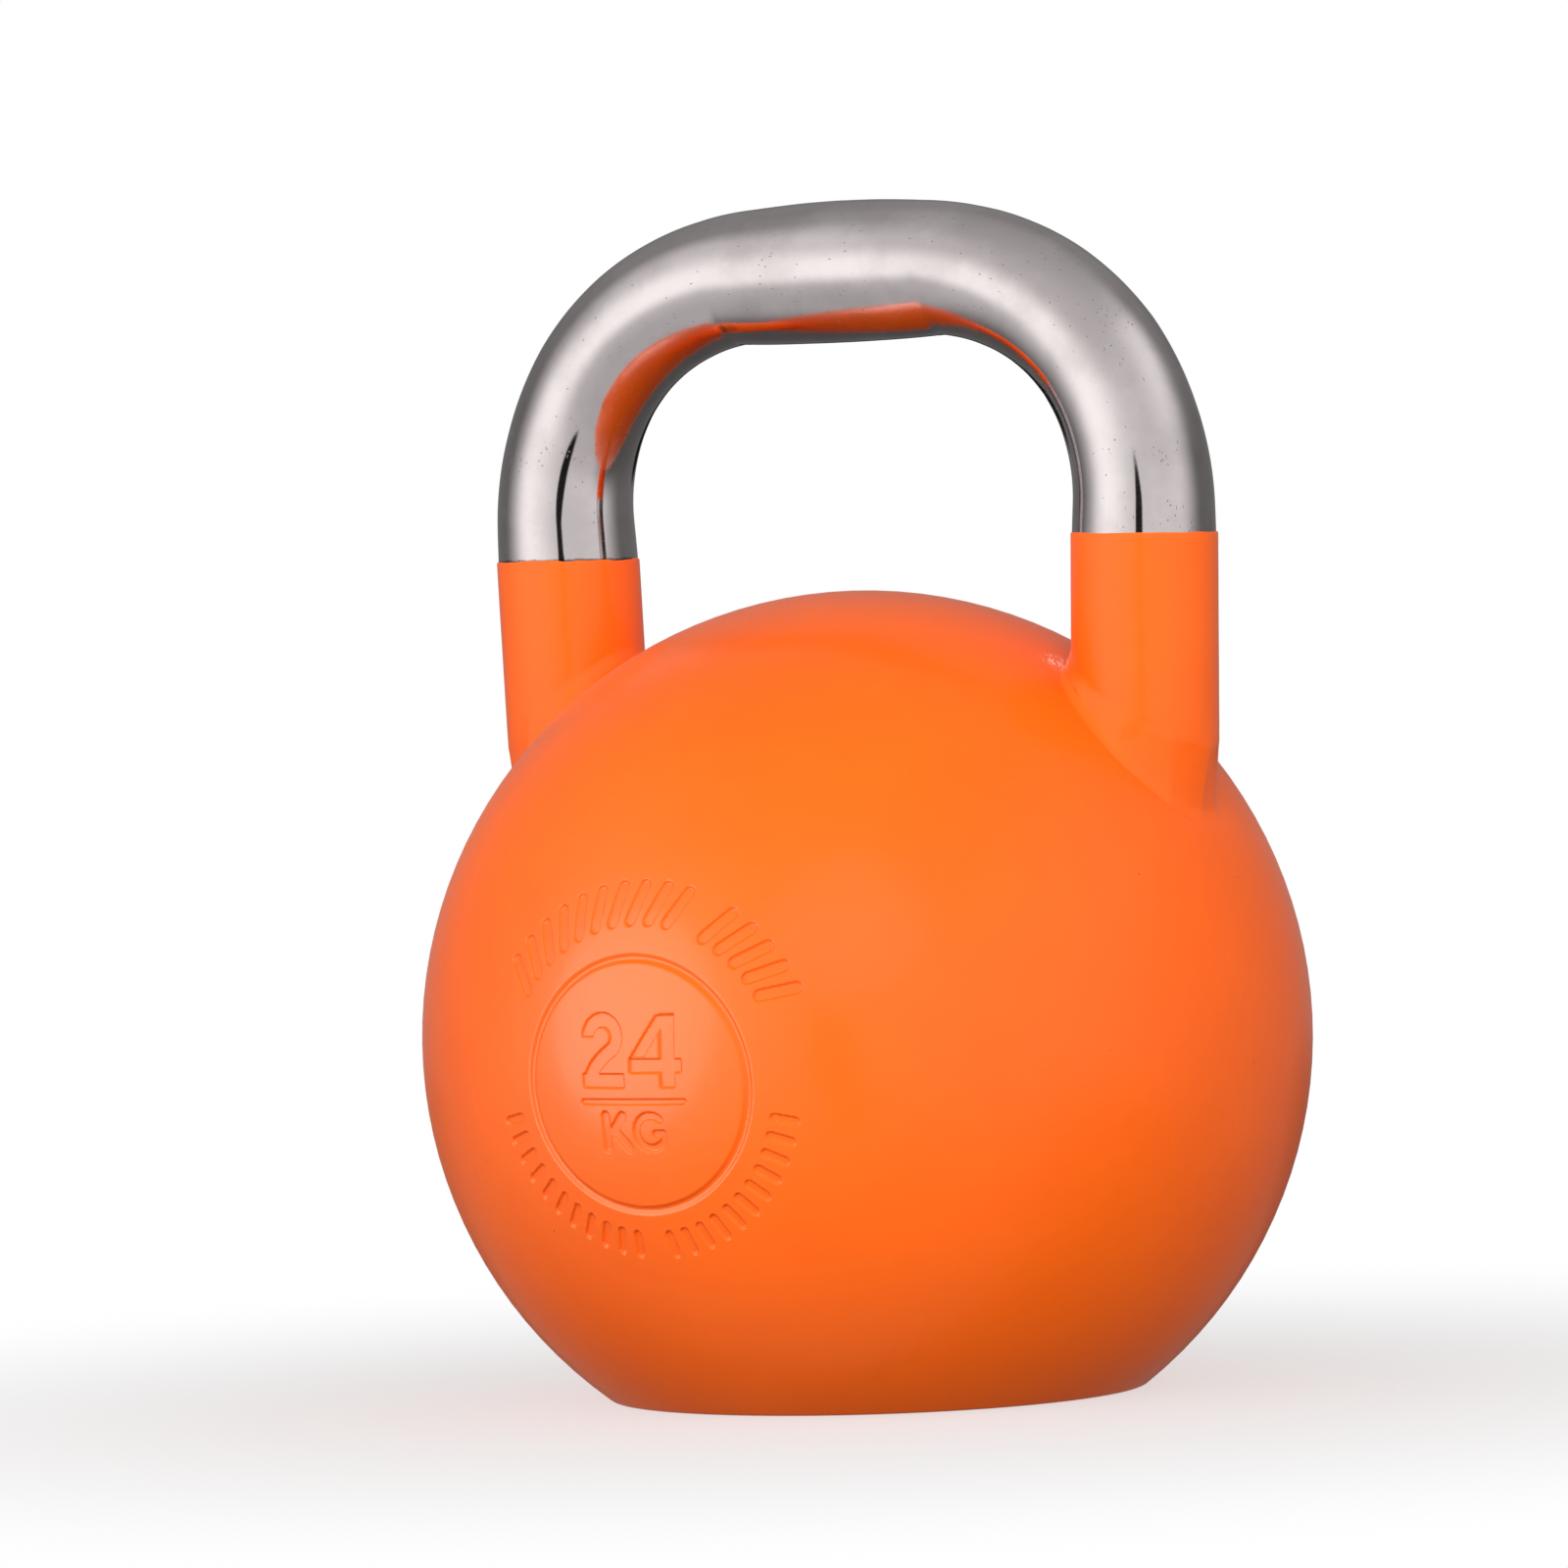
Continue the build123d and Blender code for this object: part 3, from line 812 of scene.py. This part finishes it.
# The studio: the room's own brightness and soft banks of light, at eye level, 43 degrees above it
# and 22 degrees below it. A bank adds its brightness between two soft ends, given as four azimuths
# in degrees towards the camera's right: dark, full, still full, dark again.
LEVEL = (0.20, ((0.85, (-122, -72, 55, 105)), (0.55, (-100, -62, -62, -5))))
RAISED = (0.35, ((0.50, (-125, -90, 75, 120)), (0.15, (-105, -75, -75, -40)), (0.31, (15, 68, 68, 130))))
LOWERED = (0.15, ((0.72, (-130, -75, 35, 75)),))
OVERHEAD = 0.62                     # brightness straight above
OVERHEAD_LEAN = 0.26                # how much more it is towards the camera, and less away from it
DIFFUSE_BOOST = 1.30                # the matt light is this much stronger than what is mirrored
MATT_FILL = 0.62                    # matt light added from low behind the bell
MATT_ABOVE = 0.15                   # share of the matt light that is left straight above
MATT_BELOW = 0.10                   # and from the floor
MIRRORED_BELOW = 0.75               # share of the mirrored light that is left from the floor
DARK_BEHIND = 0.06                  # share left in the dark patch opposite the camera
DARK_BEHIND_UP = (-0.15, 0.09)      # its middle and half its height, as a direction's Z
DARK_SLIT = 0.02                    # share left in the dark slit beside the camera
SLIT_AZIMUTH = (-9.2, 6.2)          # its middle and half its width in degrees
SLIT_UP = (-0.09, 0.29)             # its middle and half its height
SLIT_LEAN = 12.0                    # degrees that it leans over from eye level to straight above
LAMP_SIZE = 1.3                     # metres


def from_bell(azimuth, elevation):
    """Direction out of the bell; azimuth is in degrees towards the camera's right."""
    turn, rise = math.radians(CAMERA_AZIMUTH + azimuth), math.radians(elevation)
    return Vector((math.sin(turn) * math.cos(rise), -math.cos(turn) * math.cos(rise), math.sin(rise)))


def add_lamp(name, azimuth, elevation, distance, power, pieces):
    """Round soft lamp that lights only some pieces and isn't seen itself."""
    lamp = bpy.data.lights.new(name, "AREA")
    lamp.shape = "DISK"
    lamp.size = LAMP_SIZE
    lamp.energy = power
    holder = bpy.data.objects.new(name, lamp)
    back = from_bell(azimuth, elevation)
    turn = back.to_track_quat("Z", "Y").to_matrix().to_4x4()
    holder.matrix_world = Matrix.Translation(Vector(BALL_CENTRE * MM) + back * distance) @ turn
    holder.visible_camera = False
    lit = bpy.data.collections.new("lit_by_" + name)
    for piece in pieces:
        lit.objects.link(piece)
    holder.light_linking.receiver_collection = lit
    bpy.context.scene.collection.objects.link(holder)
    return holder


def round_about(s, angle, room, banks):
    """Brightness by azimuth: the room's own, with the banks added."""
    light = room
    for bright, (dark, full, still_full, dark_again) in banks:
        rise = s.ramp(angle, dark, full, 0.0, bright)
        light = s.maths("ADD", light, s.maths("MULTIPLY", rise, s.ramp(angle, dark_again, still_full)))
    return light


def off_middle(s, value, middle, half):
    """Square of how far a value is from a patch's middle; it is 1 at the patch's edge."""
    share = s.maths("DIVIDE", s.maths("SUBTRACT", value, middle), half)
    return s.maths("MULTIPLY", share, share)


def banks_of_light(s, angle, toward, up):
    """What polished steel would mirror, before the dark patches."""
    level, raised, lowered = (round_about(s, angle, *height) for height in (LEVEL, RAISED, LOWERED))
    light = s.mix(s.ramp(up, 0.15, 0.68), level, raised)
    overhead = s.maths("ADD", s.maths("MULTIPLY", toward, OVERHEAD_LEAN), OVERHEAD)
    light = s.mix(s.ramp(up, 0.66, 0.98), light, overhead)
    return s.mix(s.ramp(up, -0.03, -0.37), light, lowered)


def matt_balance(s, light, matt, toward, up):
    """More matt light from low behind the bell, and less from straight above and from the floor."""
    fill = s.maths("MULTIPLY", s.ramp(toward, 0.3, -0.4, 0.0, MATT_FILL), s.ramp(up, 0.45, 0.0))
    light = s.maths("ADD", light, s.maths("MULTIPLY", matt, fill))
    above = s.ramp(matt, 0.0, 1.0, 1.0, MATT_ABOVE)
    light = s.maths("MULTIPLY", light, s.ramp(up, 0.35, 0.95, 1.0, above))
    below = s.ramp(matt, 0.0, 1.0, MIRRORED_BELOW, MATT_BELOW)
    return s.maths("MULTIPLY", light, s.ramp(up, -0.15, -0.65, 1.0, below))


def dark_patches(s, light, angle, toward, up):
    """The dark patch opposite the camera and the slit beside it."""
    opposite = s.ramp(toward, -0.90, -0.72, 0.0, 2.0)
    behind = s.maths("ADD", off_middle(s, up, *DARK_BEHIND_UP), opposite)
    light = s.maths("MULTIPLY", light, s.ramp(behind, 0.4, 1.4, DARK_BEHIND, 1.0))
    lean = s.maths("ADD", angle, s.maths("MULTIPLY", up, SLIT_LEAN))
    slit = s.maths("ADD", off_middle(s, lean, *SLIT_AZIMUTH), off_middle(s, up, *SLIT_UP))
    return s.maths("MULTIPLY", light, s.ramp(slit, 0.7, 1.25, DARK_SLIT, 1.0))


def add_surroundings():
    """Soft studio light: wide banks, brightest left of the camera, with a dark slit beside it."""
    world = bpy.data.worlds.new("studio")
    bpy.context.scene.world = world
    world.use_nodes = True
    s = Nodes(world.node_tree)
    direction = s.node("ShaderNodeTexCoord").outputs["Generated"]
    turn = (0.0, 0.0, math.radians(90 - CAMERA_AZIMUTH))
    turned = s.node("ShaderNodeMapping", {"Vector": direction, "Rotation": turn}).outputs["Vector"]
    toward, right, up = s.node("ShaderNodeSeparateXYZ", {0: turned}).outputs
    angle = s.maths("DEGREES", s.maths("ARCTAN2", right, toward))
    matt = s.node("ShaderNodeLightPath").outputs["Is Diffuse Ray"]
    light = banks_of_light(s, angle, toward, up)
    light = matt_balance(s, light, matt, toward, up)
    light = dark_patches(s, light, angle, toward, up)
    light = s.maths("MULTIPLY", light, s.ramp(matt, 0.0, 1.0, 1.0, DIFFUSE_BOOST))
    seen = s.node("ShaderNodeLightPath").outputs["Is Camera Ray"]
    s.put(s.tree.nodes["Background"].inputs["Color"], s.mix(seen, light, WHITE))


add_camera()
add_floor()
add_surroundings()
add_lamp("sheen", -62, 6, 1.5, 19.0, painted[:1]).visible_diffuse = False
add_lamp("key", -4, 31, 2.0, 25.0, painted).visible_glossy = False
bpy.context.scene.view_settings.view_transform = "Standard"
